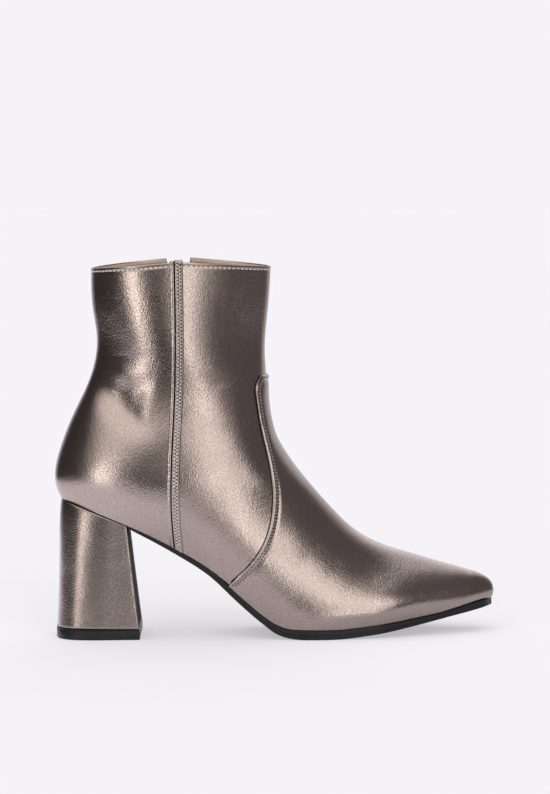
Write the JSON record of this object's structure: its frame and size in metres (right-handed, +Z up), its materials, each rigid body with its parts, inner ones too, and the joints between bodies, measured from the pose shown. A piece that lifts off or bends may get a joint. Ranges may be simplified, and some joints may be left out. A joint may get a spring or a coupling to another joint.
{
  "type": "chunky heel ankle boot",
  "caption": "Pointed-toe ankle boot in pewter metallic leather with a flared block heel, raised vamp, outer side strip and inside zip.",
  "frame": {"origin": "middle of the heel lift's ground face", "axes": "+X forward to the toe, +Y to the inner (medial) side, +Z up"},
  "size_m": [0.2506, 0.0775, 0.2143],
  "materials": {
    "pewter_leather": "smooth metallic pewter coating with a satin shine",
    "black_rubber": "satin black",
    "beige_lining": "matte beige lining",
    "zip_cloth": "woven zip tape, dark grey",
    "zip_steel": "satin nickel"
  },
  "bodies": {
    "boot": {"upper": "pewter_leather", "vamp": "pewter_leather", "side_strip": "pewter_leather", "heel": "pewter_leather", "outsole": "black_rubber", "heel_lift": "black_rubber", "insole": "beige_lining", "zip_tape": "zip_cloth", "zip_teeth": "zip_steel", "zip_slider": "zip_steel"},
    "pull_tab": {"zip_pull": "zip_steel"}
  },
  "joints": [
    {"name": "pull_tab_swing", "type": "hinge", "parent": "boot", "child": "pull_tab", "pos_m": [0.047, 0.03404, 0.189], "axis": [1, 0, 0], "range_deg": [0, 175]}
  ]
}
